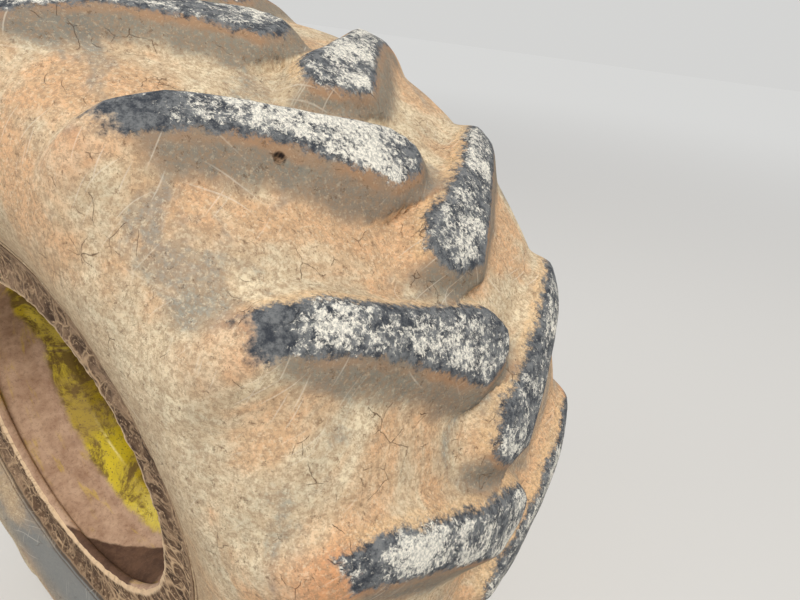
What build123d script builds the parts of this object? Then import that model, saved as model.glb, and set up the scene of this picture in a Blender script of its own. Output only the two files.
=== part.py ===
from build123d import *
from math import cos, hypot, pi, radians, sin, tan
import os

os.makedirs("parts", exist_ok=True)

# Driven wheel of a forestry forwarder, with its hub, drive shaft and the fixed end of its axle.
# Millimetres. The axle runs along Y: +Y inboard, -Y outboard. Z is up.
# The origin is the centre of the axle end's bolting face.
# Wheel pieces are drawn on WHEEL, whose local x is the radius and local y the distance
# from the wheel's centre plane, positive inboard.

# Layout along the axle
WHEEL_OFFSET = 420.0
RUNNING_GAP = 0.3
WHEEL = Plane(origin=(0, -WHEEL_OFFSET, 0), x_dir=(1, 0, 0), z_dir=(0, 0, 1))

# Tyre, 750/55-26.5
TYRE_RADIUS = 745.0
TYRE_WIDTH = 750.0
LUG_COUNT = 16
LUG_HEIGHT = 45.0
LUG_DRAFT = 12.0
LUG_PHASE = 11.7
FLATS_PER_LUG = 3
CASING_THICKNESS = 22.0
TREAD_THICKNESS = 30.0
BEAD_WIDTH = 42.0
BEAD_RIB_RADIUS = 404.0
BEAD_RIB_HEIGHT = 7.0

# Rim, 24.00 x 26.5: a rolled barrel between two welded flange rings
RIM_BETWEEN_FLANGES = 609.6
BEAD_SEAT_RADIUS = 336.5
FLANGE_HEIGHT = 30.0
FLANGE_PLATE = 16.0
FLANGE_LIP = 20.0
RIM_PLATE = 12.0
SEAT_TAPER = 5.0
SEAT_LENGTH = 90.0
WELL_DEPTH = 60.0
WELL_FLANK = 50.0

# Wheel disc
DISC_PLATE = 20.0
HUB_PILOT_RADIUS = 140.0
PILOT_CLEARANCE = 0.5

# Wheel studs and nuts
STUD_COUNT = 10
STUD_CIRCLE = 335.0
STUD_RADIUS = 11.0
STUD_PROUD = 9.0
NUT_ACROSS_FLATS = 32.0
NUT_HEIGHT = 22.0

# Hub
HUB_FLANGE_RADIUS = 200.0
HUB_FLANGE_THICKNESS = 24.0
HUB_DRUM_RADIUS = 152.0
HUB_DRUM_LENGTH = 214.0
HUB_PILOT_LENGTH = 32.0
HUB_NOSE_RADIUS = 120.0
HUB_NOSE_LENGTH = 66.0
HUB_RIB_COUNT = 10
HUB_RIB_THICKNESS = 14.0

# Axle end
FLANGE_RADIUS = 215.0
FLANGE_THICKNESS = 30.0
FLANGE_BOLTS = 12
FLANGE_BOLT_CIRCLE = 380.0
FLANGE_HOLE_RADIUS = 12.0
SPIGOT_RADIUS = 130.0
SPIGOT_LENGTH = 12.0
NECK_RADIUS = 112.0
NECK_FLARE = 34.0
INNER_SEAT_RADIUS = 85.0
INNER_SEAT_LENGTH = 86.0
OUTER_SEAT_RADIUS = 62.0
SPINDLE_NOSE_GAP = 20.0
SPINDLE_BORE_RADIUS = 37.0
STEP_GAP = 6.0
NECK_GAP = 5.0

# Drive shaft and its flange, which closes the hub
SHAFT_RADIUS = 30.0
SHAFT_REACH = 62.0
SPLINE_TEETH = 20
SPLINE_DEPTH = 3.0
SPLINE_LENGTH = 70.0
DRIVE_FLANGE_THICKNESS = 22.0
DRIVE_DOME_RADIUS = 62.0
DRIVE_DOME_HEIGHT = 16.0
COVER_BOLTS = 12
COVER_BOLT_CIRCLE = 196.0
COVER_HEAD_FLATS = 24.0
COVER_HEAD_HEIGHT = 10.0
PLUG_FLATS = 30.0
PLUG_COLLAR_RADIUS = 19.0
PLUG_COLLAR = 5.0
PLUG_HEIGHT = 12.0

# Valve
VALVE_HOLE_RADIUS = 9.0
VALVE_BASE_RADIUS = 16.0
VALVE_BASE_HEIGHT = 9.0
VALVE_STEM_LENGTH = 48.0
VALVE_CAP_RADIUS = 10.5
GUARD_PLATE = 8.0
GUARD_GAP = 52.0
GUARD_DEPTH = 76.0
GUARD_LENGTH = 66.0
GUARD_SLANT = 22.0
GUARD_BAR = 26.0

# Rim section, worked out from the sizes above
flange_face = RIM_BETWEEN_FLANGES / 2
flange_radius = BEAD_SEAT_RADIUS + FLANGE_HEIGHT
seat_slope = tan(radians(SEAT_TAPER))
seat_end = flange_face - SEAT_LENGTH
seat_end_radius = BEAD_SEAT_RADIUS - SEAT_LENGTH * seat_slope
well_radius = BEAD_SEAT_RADIUS - WELL_DEPTH
well_half_width = seat_end - WELL_FLANK
well_inside = well_radius - RIM_PLATE
lip_radius = BEAD_SEAT_RADIUS - RIM_PLATE - FLANGE_LIP
rim_tip = flange_face + FLANGE_PLATE

# Radius and distance from the centre plane along the tyre side of the barrel's outboard half.
# Both seats run on past the flange rings and are trimmed to them.
rim_half = [
    (BEAD_SEAT_RADIUS + FLANGE_PLATE * seat_slope, -rim_tip),
    (seat_end_radius, -seat_end),
    (well_radius, -well_half_width),
]
rim_line = rim_half + [(radius, -place) for radius, place in reversed(rim_half)]


def label_and_write(builder, name):
    builder.part.label = name
    export_step(builder.part, "parts/" + name + ".step")


HUB_FACE = Plane(origin=(0, -WHEEL_OFFSET, 0), x_dir=(1, 0, 0), z_dir=(0, -1, 0))

# Valve place: the middle of the outboard flank, at the top of the wheel
flank_length = hypot(seat_end_radius - well_radius, WELL_FLANK)
flank_out = (seat_end_radius - well_radius) / flank_length
flank_in = WELL_FLANK / flank_length
VALVE_PLANE = Plane(
    origin=(0, -WHEEL_OFFSET - (seat_end + well_half_width) / 2, (seat_end_radius + well_radius) / 2),
    x_dir=(1, 0, 0),
    z_dir=(0, -flank_out, -flank_in),
)

# The rim barrel is one rolled section with tapered bead seats and a drop-centre well.
with BuildPart() as rim_barrel:
    with BuildSketch(WHEEL):
        with BuildLine():
            Polyline(*rim_line)
            offset(amount=RIM_PLATE, side=Side.LEFT, kind=Kind.INTERSECTION, closed=True)
        make_face()
    revolve(axis=Axis.Y)
    with BuildSketch(HUB_FACE):
        Circle(flange_radius)
    extrude(amount=flange_face, both=True, mode=Mode.INTERSECT)
    with BuildSketch(VALVE_PLANE):
        Circle(VALVE_HOLE_RADIUS)
    extrude(amount=2 * RIM_PLATE, both=True, mode=Mode.SUBTRACT)
label_and_write(rim_barrel, "rim_barrel")

# A flange ring closes each end of the barrel: it holds the bead in and leaves a lip inside.
for name, side in (("flange_ring_outer", -1), ("flange_ring_inner", 1)):
    with BuildPart() as flange_ring:
        with BuildSketch(WHEEL):
            with Locations(((lip_radius + flange_radius) / 2, side * (flange_face + rim_tip) / 2)):
                Rectangle(flange_radius - lip_radius, FLANGE_PLATE)
        revolve(axis=Axis.Y)
    label_and_write(flange_ring, name)

# Casing section: distance from the centre plane and radius, from the tread down to the bead
# and back up the inside.
half_width = TYRE_WIDTH / 2
undertread = TYRE_RADIUS - LUG_HEIGHT
casing_half = [
    (220, undertread - 4),
    (296, undertread - 26),
    (half_width - 14, undertread - 80),
    (half_width, undertread - 140),
    (half_width - 34, BEAD_RIB_RADIUS + BEAD_RIB_HEIGHT),
    (half_width - 34 - BEAD_RIB_HEIGHT, BEAD_RIB_RADIUS - BEAD_RIB_HEIGHT),
    (rim_tip, flange_radius),
    (flange_face, flange_radius),
    (flange_face, BEAD_SEAT_RADIUS),
    (flange_face - BEAD_WIDTH, BEAD_SEAT_RADIUS - BEAD_WIDTH * seat_slope),
    (flange_face - BEAD_WIDTH, BEAD_SEAT_RADIUS + BEAD_WIDTH / 2),
    (half_width - CASING_THICKNESS, undertread - 130),
    (290, undertread - 26 - TREAD_THICKNESS),
]

# Band that the lugs of the outboard row fill, from their worn tops down into the casing:
# distance outboard of the centre plane and radius.
lug_band = [
    (-110, TYRE_RADIUS),
    (110, TYRE_RADIUS),
    (318, TYRE_RADIUS - 33),
    (352, TYRE_RADIUS - 67),
    (half_width, TYRE_RADIUS - 155),
    (half_width, undertread - 138),
    (half_width - 12, undertread - 138),
    (330, undertread - 72),
    (290, undertread - 42),
    (220, undertread - 16),
    (-110, undertread - 12),
]

# A lug's top seen from outside: distance along the tread from the lug's middle and distance
# outboard. The blunt nose passes the centre plane and the tail runs out over the shoulder.
lug_plan = [
    (-110, -50),
    (-35, -45),
    (7, 65),
    (45, 150),
    (95, 240),
    (110, 300),
    (106, half_width),
    (52, half_width),
    (50, 300),
    (-2, 200),
    (-50, 135),
    (-120, 45),
]

# Casing and lugs are drawn as flats, three to a pitch, instead of round bands.
pitch = 360 / LUG_COUNT
flat_turn = pitch / FLATS_PER_LUG
corner_inset = cos(radians(flat_turn / 2))
flat_reach = TYRE_RADIUS * tan(radians(flat_turn / 2))


def ring_flat(section):
    with BuildPart() as piece:
        with BuildSketch(WHEEL):
            Polygon(*section, align=None)
        extrude(amount=flat_reach, both=True)
        with BuildSketch(HUB_FACE):
            Polygon((0, 0), (TYRE_RADIUS, -flat_reach), (TYRE_RADIUS, flat_reach), align=None)
        extrude(amount=half_width, both=True, mode=Mode.INTERSECT)
    return piece.part


# The casing's flats touch the true circles at their middles, the lugs' flats at their corners.
casing_flat = ring_flat(
    [(radius, -place) for place, radius in casing_half]
    + [(radius, place) for place, radius in reversed(casing_half)]
)
band_flat = ring_flat([(radius * corner_inset, -place) for place, radius in lug_band])
band = Part() + [band_flat.rotate(Axis.Y, step * flat_turn) for step in (-1.5, -0.5, 0.5, 1.5)]

with BuildPart() as lug:
    with BuildSketch(Plane(origin=(TYRE_RADIUS, -WHEEL_OFFSET, 0), x_dir=(0, 0, 1), z_dir=(1, 0, 0))):
        Polygon(*lug_plan, align=None)
    extrude(amount=-(TYRE_RADIUS - undertread + 160), taper=-LUG_DRAFT)
    add(band, mode=Mode.INTERSECT)

# The tyre: a hollow casing with beads that sit on the rim, and lugs in two staggered rows.
far_lug = mirror(lug.part, about=Plane(origin=(0, -WHEEL_OFFSET, 0), z_dir=(0, 1, 0)))
flats = [casing_flat.rotate(Axis.Y, step * flat_turn) for step in range(LUG_COUNT * FLATS_PER_LUG)]
near_lugs = [lug.part.rotate(Axis.Y, -LUG_PHASE - step * pitch) for step in range(LUG_COUNT)]
far_lugs = [far_lug.rotate(Axis.Y, -LUG_PHASE - (step + 0.5) * pitch) for step in range(LUG_COUNT)]
with BuildPart() as tyre:
    add(flats + near_lugs + far_lugs)
label_and_write(tyre, "tyre")

# The wheel disc closes the middle of the well, flat against the hub's flange.
disc_bore = HUB_PILOT_RADIUS + PILOT_CLEARANCE
with BuildPart() as wheel_disc:
    with BuildSketch(HUB_FACE):
        Circle(well_inside)
        Circle(disc_bore, mode=Mode.SUBTRACT)
    extrude(amount=DISC_PLATE)
label_and_write(wheel_disc, "wheel_disc")

# The hub: a ribbed drum that carries the wheel flange and turns on the spindle's two seats.
hub_tail = HUB_FLANGE_THICKNESS + HUB_DRUM_LENGTH
hub_end = HUB_PILOT_LENGTH + HUB_NOSE_LENGTH
spindle_end = hub_end - SPINDLE_NOSE_GAP
inner_seat_end = hub_tail - INNER_SEAT_LENGTH
NOSE_FACE = Plane(origin=(0, -WHEEL_OFFSET - hub_end, 0), x_dir=(1, 0, 0), z_dir=(0, -1, 0))
with BuildPart() as hub:
    with BuildSketch(WHEEL):
        with BuildLine():
            Polyline(
                (HUB_NOSE_RADIUS, -hub_end),
                (HUB_NOSE_RADIUS, -HUB_PILOT_LENGTH),
                (HUB_PILOT_RADIUS, -HUB_PILOT_LENGTH),
                (HUB_PILOT_RADIUS, 0),
                (HUB_FLANGE_RADIUS, 0),
                (HUB_FLANGE_RADIUS, HUB_FLANGE_THICKNESS),
                (HUB_DRUM_RADIUS, HUB_FLANGE_THICKNESS),
                (HUB_DRUM_RADIUS, hub_tail),
                (INNER_SEAT_RADIUS + RUNNING_GAP, hub_tail),
                (INNER_SEAT_RADIUS + RUNNING_GAP, inner_seat_end),
                (OUTER_SEAT_RADIUS + RUNNING_GAP, inner_seat_end),
                (OUTER_SEAT_RADIUS + RUNNING_GAP, -hub_end),
                close=True,
            )
        make_face()
    revolve(axis=Axis.Y)
    with BuildSketch(Plane.XY):
        with BuildLine():
            Polyline(
                (HUB_DRUM_RADIUS - 2, HUB_FLANGE_THICKNESS - WHEEL_OFFSET),
                (HUB_FLANGE_RADIUS - 6, HUB_FLANGE_THICKNESS - WHEEL_OFFSET),
                (HUB_DRUM_RADIUS - 2, HUB_FLANGE_THICKNESS + HUB_DRUM_LENGTH / 2 - WHEEL_OFFSET),
                close=True,
            )
        make_face()
    rib = extrude(amount=HUB_RIB_THICKNESS / 2, both=True, mode=Mode.PRIVATE)
    add([rib.rotate(Axis.Y, (step + 0.5) * 360 / HUB_RIB_COUNT) for step in range(HUB_RIB_COUNT)])
label_and_write(hub, "hub")

# Wheel nuts on the ends of the hub's studs
with BuildPart() as wheel_nuts:
    with BuildSketch(HUB_FACE.offset(DISC_PLATE)):
        with PolarLocations(STUD_CIRCLE / 2, STUD_COUNT):
            RegularPolygon(NUT_ACROSS_FLATS / 2, 6, major_radius=False)
    extrude(amount=NUT_HEIGHT)
    with BuildSketch(HUB_FACE.offset(DISC_PLATE + NUT_HEIGHT)):
        with PolarLocations(STUD_CIRCLE / 2, STUD_COUNT):
            Circle(STUD_RADIUS)
    extrude(amount=STUD_PROUD)
label_and_write(wheel_nuts, "wheel_nuts")

# The drive flange closes the hub's nose: a forged disc with a shallow dome.
with BuildPart() as drive_flange:
    with BuildSketch(WHEEL):
        with BuildLine():
            Polyline(
                (0, -hub_end),
                (0, -hub_end - DRIVE_FLANGE_THICKNESS - DRIVE_DOME_HEIGHT),
                (DRIVE_DOME_RADIUS - DRIVE_DOME_HEIGHT, -hub_end - DRIVE_FLANGE_THICKNESS - DRIVE_DOME_HEIGHT),
                (DRIVE_DOME_RADIUS, -hub_end - DRIVE_FLANGE_THICKNESS),
                (HUB_NOSE_RADIUS, -hub_end - DRIVE_FLANGE_THICKNESS),
                (HUB_NOSE_RADIUS, -hub_end),
                close=True,
            )
        make_face()
    revolve(axis=Axis.Y)
label_and_write(drive_flange, "drive_flange")

# The shaft runs from the drive flange through the spindle to a splined end past the bolting face.
tooth_space = pi * (SHAFT_RADIUS - SPLINE_DEPTH / 2) / SPLINE_TEETH
with BuildPart() as drive_shaft:
    with BuildSketch(NOSE_FACE):
        Circle(SHAFT_RADIUS)
    extrude(amount=-(hub_end + WHEEL_OFFSET + SHAFT_REACH))
    with BuildSketch(Plane(origin=(0, SHAFT_REACH, 0), x_dir=(1, 0, 0), z_dir=(0, -1, 0))):
        with PolarLocations(SHAFT_RADIUS, SPLINE_TEETH):
            Rectangle(2 * SPLINE_DEPTH, tooth_space)
    extrude(amount=SPLINE_LENGTH, mode=Mode.SUBTRACT)
label_and_write(drive_shaft, "drive_shaft")

# Hexagon bolt heads around the drive flange
with BuildPart() as cover_bolts:
    with BuildSketch(NOSE_FACE.offset(DRIVE_FLANGE_THICKNESS)):
        with PolarLocations(COVER_BOLT_CIRCLE / 2, COVER_BOLTS):
            RegularPolygon(COVER_HEAD_FLATS / 2, 6, major_radius=False)
    extrude(amount=COVER_HEAD_HEIGHT)
label_and_write(cover_bolts, "cover_bolts")

# Oil plug in the middle of the dome: a round collar under a hexagon.
dome_front = NOSE_FACE.offset(DRIVE_FLANGE_THICKNESS + DRIVE_DOME_HEIGHT)
with BuildPart() as oil_plug:
    with BuildSketch(dome_front):
        Circle(PLUG_COLLAR_RADIUS)
    extrude(amount=PLUG_COLLAR)
    with BuildSketch(dome_front.offset(PLUG_COLLAR)):
        RegularPolygon(PLUG_FLATS / 2, 6, major_radius=False)
    extrude(amount=PLUG_HEIGHT)
label_and_write(oil_plug, "oil_plug")

# Axle end: a bolting flange with a spigot, a flared neck, and the two seats that the hub runs on.
neck_end = hub_tail - WHEEL_OFFSET + NECK_GAP
seat_step = inner_seat_end - WHEEL_OFFSET + STEP_GAP
spindle_stop = -spindle_end - WHEEL_OFFSET
with BuildPart() as spindle:
    with BuildSketch(Plane.XY):
        with BuildLine():
            Polyline(
                (SPINDLE_BORE_RADIUS, SPIGOT_LENGTH),
                (SPIGOT_RADIUS, SPIGOT_LENGTH),
                (SPIGOT_RADIUS, 0),
                (FLANGE_RADIUS, 0),
                (FLANGE_RADIUS, -FLANGE_THICKNESS),
                (NECK_RADIUS + NECK_FLARE, -FLANGE_THICKNESS),
                (NECK_RADIUS, -FLANGE_THICKNESS - 2 * NECK_FLARE),
                (NECK_RADIUS, neck_end),
                (INNER_SEAT_RADIUS, neck_end),
                (INNER_SEAT_RADIUS, seat_step),
                (OUTER_SEAT_RADIUS, seat_step),
                (OUTER_SEAT_RADIUS, spindle_stop),
                (SPINDLE_BORE_RADIUS, spindle_stop),
                close=True,
            )
        make_face()
    revolve(axis=Axis.Y)
    with BuildSketch(Plane(origin=(0, 0, 0), x_dir=(1, 0, 0), z_dir=(0, -1, 0))):
        with PolarLocations(FLANGE_BOLT_CIRCLE / 2, FLANGE_BOLTS):
            Circle(FLANGE_HOLE_RADIUS)
    extrude(amount=FLANGE_THICKNESS, mode=Mode.SUBTRACT)
label_and_write(spindle, "spindle")

# Large-bore valve on the outboard flank of the well, under its cap.
valve_lift = VALVE_BASE_RADIUS**2 / well_inside
valve_foot = VALVE_PLANE.offset(RIM_PLATE + valve_lift)
with BuildPart() as valve_stem:
    with BuildSketch(VALVE_PLANE):
        Circle(VALVE_HOLE_RADIUS)
    extrude(amount=RIM_PLATE + valve_lift)
    with BuildSketch(valve_foot):
        RegularPolygon(VALVE_BASE_RADIUS, 6)
    extrude(amount=VALVE_BASE_HEIGHT)
    with BuildSketch(valve_foot.offset(VALVE_BASE_HEIGHT)):
        Circle(VALVE_CAP_RADIUS)
    extrude(amount=VALVE_STEM_LENGTH)
label_and_write(valve_stem, "valve_stem")

# Two plates welded to the inside of the barrel stand on either side of the valve,
# and a third joins them across its front.
guard_far = seat_end + RIM_PLATE
guard_near = guard_far + GUARD_LENGTH


def seat_inside(place):
    return BEAD_SEAT_RADIUS - (flange_face - place) * seat_slope - RIM_PLATE / cos(radians(SEAT_TAPER))


GUARD_SIDE = Plane(origin=(0, -WHEEL_OFFSET, 0), x_dir=(0, 0, 1), z_dir=(1, 0, 0))
half_gap = GUARD_GAP / 2
guard_reach = hypot(half_gap + GUARD_PLATE, seat_inside(guard_far))
guard_drop = guard_reach - seat_inside(guard_far)
with BuildPart() as valve_guard:
    for side in (-1, 1):
        with BuildSketch(GUARD_SIDE.offset(side * (half_gap + GUARD_PLATE / 2))):
            with BuildLine():
                Polyline(
                    (seat_inside(guard_far) - guard_drop, guard_far),
                    (seat_inside(guard_near) - guard_drop, guard_near),
                    (seat_inside(guard_near) - GUARD_DEPTH / 2, guard_near),
                    (seat_inside(guard_near) - GUARD_DEPTH, guard_near - GUARD_SLANT),
                    (seat_inside(guard_far) - GUARD_DEPTH, guard_far),
                    close=True,
                )
            make_face()
        extrude(amount=GUARD_PLATE / 2, both=True)
    with BuildSketch(HUB_FACE.offset(guard_near - GUARD_PLATE)):
        with Locations((0, seat_inside(guard_near) - GUARD_DEPTH / 2 + GUARD_BAR / 2)):
            Rectangle(GUARD_GAP + GUARD_PLATE, GUARD_BAR)
    extrude(amount=GUARD_PLATE)
label_and_write(valve_guard, "valve_guard")
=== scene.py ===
# %% [markdown]
# A muddy forestry wheel, modelled around its CAD solids. The CAD part gives the true
# sizes and the one moving joint. This lesson dresses it: rubber, clay, paint, dust
# and cast iron. Lengths are metres, the axle runs along Y and -Y is the outer side.

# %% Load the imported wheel
from math import cos, pi, radians, sin
import bpy
import numpy as np
from mathutils import Matrix, Vector


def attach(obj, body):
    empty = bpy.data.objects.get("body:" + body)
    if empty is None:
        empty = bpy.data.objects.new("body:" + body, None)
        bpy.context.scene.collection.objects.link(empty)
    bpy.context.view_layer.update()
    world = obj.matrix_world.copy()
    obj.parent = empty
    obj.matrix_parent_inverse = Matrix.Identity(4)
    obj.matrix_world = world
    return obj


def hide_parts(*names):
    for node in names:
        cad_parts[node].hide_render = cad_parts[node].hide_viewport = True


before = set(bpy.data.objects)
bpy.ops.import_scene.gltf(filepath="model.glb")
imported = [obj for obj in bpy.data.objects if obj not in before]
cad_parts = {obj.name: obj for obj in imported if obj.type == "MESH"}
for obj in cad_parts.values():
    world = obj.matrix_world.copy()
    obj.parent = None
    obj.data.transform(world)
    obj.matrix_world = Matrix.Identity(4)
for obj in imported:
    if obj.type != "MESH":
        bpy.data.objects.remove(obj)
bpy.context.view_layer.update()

WHEEL_Y = -0.42

# %% [markdown]
# Every piece needs the same few chores: nothing else selected before a primitive is added, smooth
# shading afterwards, and a note of the body it rides on and the solid it stands for. Small helpers
# keep those chores out of the modelling cells, so each cell shows only the shape being made.

# %% Helpers for adding and finishing pieces
def start_fresh():
    """Object mode with nothing selected, because an operator acts on all that is selected."""
    if bpy.context.object and bpy.context.object.mode != "OBJECT":
        bpy.ops.object.mode_set(mode="OBJECT")
    bpy.ops.object.select_all(action="DESELECT")


def pick(piece):
    """Object mode with this piece alone selected and active."""
    start_fresh()
    piece.select_set(True)
    bpy.context.view_layer.objects.active = piece


def edit(piece, kind="VERT"):
    """Edit mode with everything selected, in one of the three select modes."""
    pick(piece)
    bpy.ops.object.mode_set(mode="EDIT")
    bpy.ops.mesh.select_mode(type=kind)
    bpy.ops.mesh.select_all(action="SELECT")


def apply_modifier(piece, kind, **settings):
    pick(piece)
    modifier = piece.modifiers.new(kind.title(), kind)
    for name, value in settings.items():
        setattr(modifier, name, value)
    bpy.ops.object.modifier_apply(modifier=modifier.name)


def close_up(piece):
    """Merge the points that lie on each other, then turn every face outwards."""
    edit(piece)
    bpy.ops.mesh.remove_doubles(threshold=0.00002)
    bpy.ops.mesh.normals_make_consistent(inside=False)
    bpy.ops.object.mode_set(mode="OBJECT")


def finish_piece(piece, name, body, material, slot, *nodes, angle=35):
    """Shade, name and dress a piece, and note its body and the solids it stands for. Its slot is
    not used.
    """
    pick(piece)
    bpy.ops.object.transform_apply(location=True, rotation=True, scale=True)
    bpy.ops.object.shade_smooth_by_angle(angle=radians(angle))
    piece.name = name
    piece.data.materials.clear()
    piece.data.materials.append(material)
    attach(piece, body)
    if nodes:
        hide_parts(*nodes)
    piece.data.calc_loop_triangles()
    print(name, "triangles:", len(piece.data.loop_triangles))


# %% [markdown]
# Node materials are wired by hand in the shader editor. In a script the same wiring reads best
# with a few short helpers: one adds a node and plugs in its sockets, and the others are the
# wiring that every dirty surface needs, namely noise, a soft threshold and a mix of two colours.
# In each call of soft, the last two numbers say where the mask begins and where it is full.

# %% Helpers for node materials
def tone(red, green, blue):
    """An sRGB colour, from 0 to 255, as the linear one that a socket wants."""
    shares = [value / 255 for value in (red, green, blue)]
    linear = [c / 12.92 if c <= 0.04045 else ((c + 0.055) / 1.055) ** 2.4 for c in shares]
    return (*linear, 1.0)


def new_material(name, **constants):
    material = bpy.data.materials.new(name)
    material.use_nodes = True
    tree = material.node_tree
    shader = tree.nodes["Principled BSDF"]
    for socket, value in constants.items():
        shader.inputs[socket.replace("_", " ")].default_value = value
    return material, tree, shader


def node(tree, kind, feeds=None, **settings):
    """Add a node. Each feed is another node's output or a plain value."""
    made = tree.nodes.new("ShaderNode" + kind)
    for name, value in settings.items():
        setattr(made, name, value)
    for socket, value in (feeds or {}).items():
        if isinstance(value, bpy.types.NodeSocket):
            tree.links.new(value, made.inputs[socket])
        else:
            made.inputs[socket].default_value = value
    return made


def place(tree):
    """Object coordinates: metres from the wheel's origin, which turn with the wheel."""
    return node(tree, "TexCoord").outputs["Object"]


def noise(tree, scale, detail=4.0, rough=0.6, twist=0.0, at=None):
    """A cloudy pattern about 0.5. A larger scale gives smaller clouds."""
    feeds = {"Vector": at or place(tree), "Scale": scale, "Detail": detail,
             "Roughness": rough, "Distortion": twist}
    return node(tree, "TexNoise", feeds).outputs["Fac"]


def soft(tree, value, low, high):
    """A smooth step from 0 at low to 1 at high. Low may be the larger of the two."""
    feeds = {"Value": value, "From Min": low, "From Max": high}
    return node(tree, "MapRange", feeds, interpolation_type="SMOOTHSTEP").outputs["Result"]


def sum_up(tree, a, kind, b, clamp=False):
    return node(tree, "Math", {0: a, 1: b}, operation=kind, use_clamp=clamp).outputs[0]


def times(tree, first, *factors):
    for factor in factors:
        first = sum_up(tree, first, "MULTIPLY", factor)
    return first


def mix(tree, share, a, b):
    return node(tree, "Mix", {0: share, 6: a, 7: b}, data_type="RGBA").outputs[2]


def coat(tree, under, share, *colour):
    """Lay an sRGB colour over what is there, as thick as the share says."""
    return mix(tree, share, under, tone(*colour))


def plug(tree, shader, socket, value):
    tree.links.new(value, shader.inputs[socket])


def bump(tree, shader, heights, strength):
    """Chain one bump on the other. Each height comes with its depth in metres."""
    normal = None
    for height, depth in heights:
        feeds = {"Strength": strength, "Distance": depth, "Height": height}
        if normal:
            feeds["Normal"] = normal
        normal = node(tree, "Bump", feeds).outputs["Normal"]
    plug(tree, shader, "Normal", normal)


def cracks(tree, scale, width, at):
    """The edges of a texture of random cells."""
    feeds = {"Vector": at, "Scale": scale}
    edge = node(tree, "TexVoronoi", feeds, feature="DISTANCE_TO_EDGE").outputs["Distance"]
    return soft(tree, edge, width, 0.0)


def hairline(tree, scale, width, twist, detail, at):
    """The line where a smooth noise crosses its middle value: long, thin and curved."""
    off = sum_up(tree, noise(tree, scale, detail, 0.45, twist, at), "SUBTRACT", 0.5)
    return soft(tree, sum_up(tree, off, "ABSOLUTE", 0.0), width, 0.0)


def push(tree, scale, size):
    """The place with a small random shift, which makes straight edges crooked."""
    feeds = {"Vector": place(tree), "Scale": scale, "Detail": 3.0}
    colour = node(tree, "TexNoise", feeds).outputs["Color"]
    centred = node(tree, "VectorMath", {0: colour, 1: (0.5, 0.5, 0.5)}, operation="SUBTRACT")
    centred = centred.outputs[0]
    shift = node(tree, "VectorMath", {0: centred, "Scale": size}, operation="SCALE").outputs[0]
    return node(tree, "VectorMath", {0: place(tree), 1: shift}).outputs[0]


def stretched(tree, factors, at=None):
    feeds = {0: at or place(tree), 1: factors}
    return node(tree, "VectorMath", feeds, operation="MULTIPLY").outputs[0]


def from_axle(tree):
    """The distance from the axle, which runs along Y."""
    feeds = {0: stretched(tree, (1, 0, 1))}
    return node(tree, "VectorMath", feeds, operation="LENGTH").outputs["Value"]


def away(tree, value, size, middle=0.5):
    """How far a noise is from its middle, scaled."""
    return times(tree, sum_up(tree, value, "SUBTRACT", middle), size)


print("one sRGB tan as a linear colour:", [round(c, 3) for c in tone(204, 168, 126)])

# %% [markdown]
# The tyre carries two staggered rows of chevron lugs. Lugs could be extruded one by one, but
# a worn lug has no flat faces: its top rolls over into a wide fillet of packed clay. So the
# tyre starts as one flat grid. Its rows are wrapped round the tyre's section and its columns
# run along the lugs' slanted edges, so every edge is followed by faces and stays smooth.

# %% Sizes of the tread, in millimetres
LUGS = 16
TREAD_R = 745
PITCH = 2 * pi * TREAD_R / LUGS
FIRST_LUG = radians(11.7)
# Distance outboard of the centre plane, a lug's trailing edge there and its leading edge there.
LUG_EDGES = [(-50, -110, -37), (45, -120, 0), (65, -104, 7), (135, -50, 38), (150, -39, 45),
             (200, -2, 73), (240, 19, 95), (300, 50, 110), (375, 52, 106), (700, 52, 106)]
NOSE = -50
lug_out, lug_trail, lug_lead = np.array(LUG_EDGES, float).T

# Section of the outer half: outboard distance and radius of the casing, the same of a lug's top,
# and the rows of faces down to the next line.
SECTION = [
    (0, 700, 0, 743.4, 12), (60, 700, 60, 743, 8), (130, 699.5, 130, 740.5, 7),
    (200, 697, 203, 734, 6), (255, 690, 260, 722, 5), (298, 675, 307, 704, 4),
    (328, 655, 337, 682, 4), (349, 628, 356, 651, 4), (363, 598, 367, 614, 3),
    (370.5, 565, 372, 575, 3), (372.5, 535, 372.5, 537, 3), (370, 505, 370, 505, 2),
    (364, 475, 364, 475, 2), (354, 447, 354, 447, 2), (346, 429, 346, 429, 1),
    (343, 421, 343, 421, 1), (342, 416.5, 342, 416.5, 1), (338, 413.5, 338, 413.5, 1),
    (340.5, 410, 340.5, 410, 1), (339, 405, 339, 405, 1), (334, 398, 334, 398, 1),
    (328.5, 388, 328.5, 388, 1), (324, 377, 324, 377, 1),
]
# Under the flange, round the bead and back along the lining to the middle.
LINING = [(321.2, 367), (305.2, 366.6), (304.9, 337), (263, 333.2), (263, 357),
          (330, 480), (351, 570), (296, 644), (200, 664), (0, 668)]
print("pitch of the lugs:", round(PITCH, 1), "mm")

# %% [markdown]
# A tyre's section has no corners, so its rows follow a smooth curve through
# the table's points. A curve object could draw it, but Blender would then
# choose where the points lie. A cubic worked out here puts as many rows
# between two points as the table says. The inner half mirrors the outer one.

# %% Rows: a smooth curve through the section, mirrored to the inner half
def smooth_rows(table):
    points = np.array([line[:4] for line in table], float)
    slopes = np.gradient(points, axis=0)
    rows = []
    for k, count in enumerate([line[4] for line in table[:-1]]):
        for t in np.arange(count) / count:
            a, b = 2 * t**3 - 3 * t**2 + 1, t**3 - 2 * t**2 + t
            c, d = 3 * t**2 - 2 * t**3, t**3 - t**2
            rows.append(a * points[k] + b * slopes[k] + c * points[k + 1] + d * slopes[k + 1])
    return rows + [points[-1]]


half = smooth_rows(SECTION) + [np.array(point * 2, float) for point in LINING]
flip = np.array([-1, 1, -1, 1])
rows = np.array(half[::-1] + [line * flip for line in half[1:]])
print("rows round the section:", len(rows))

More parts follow.
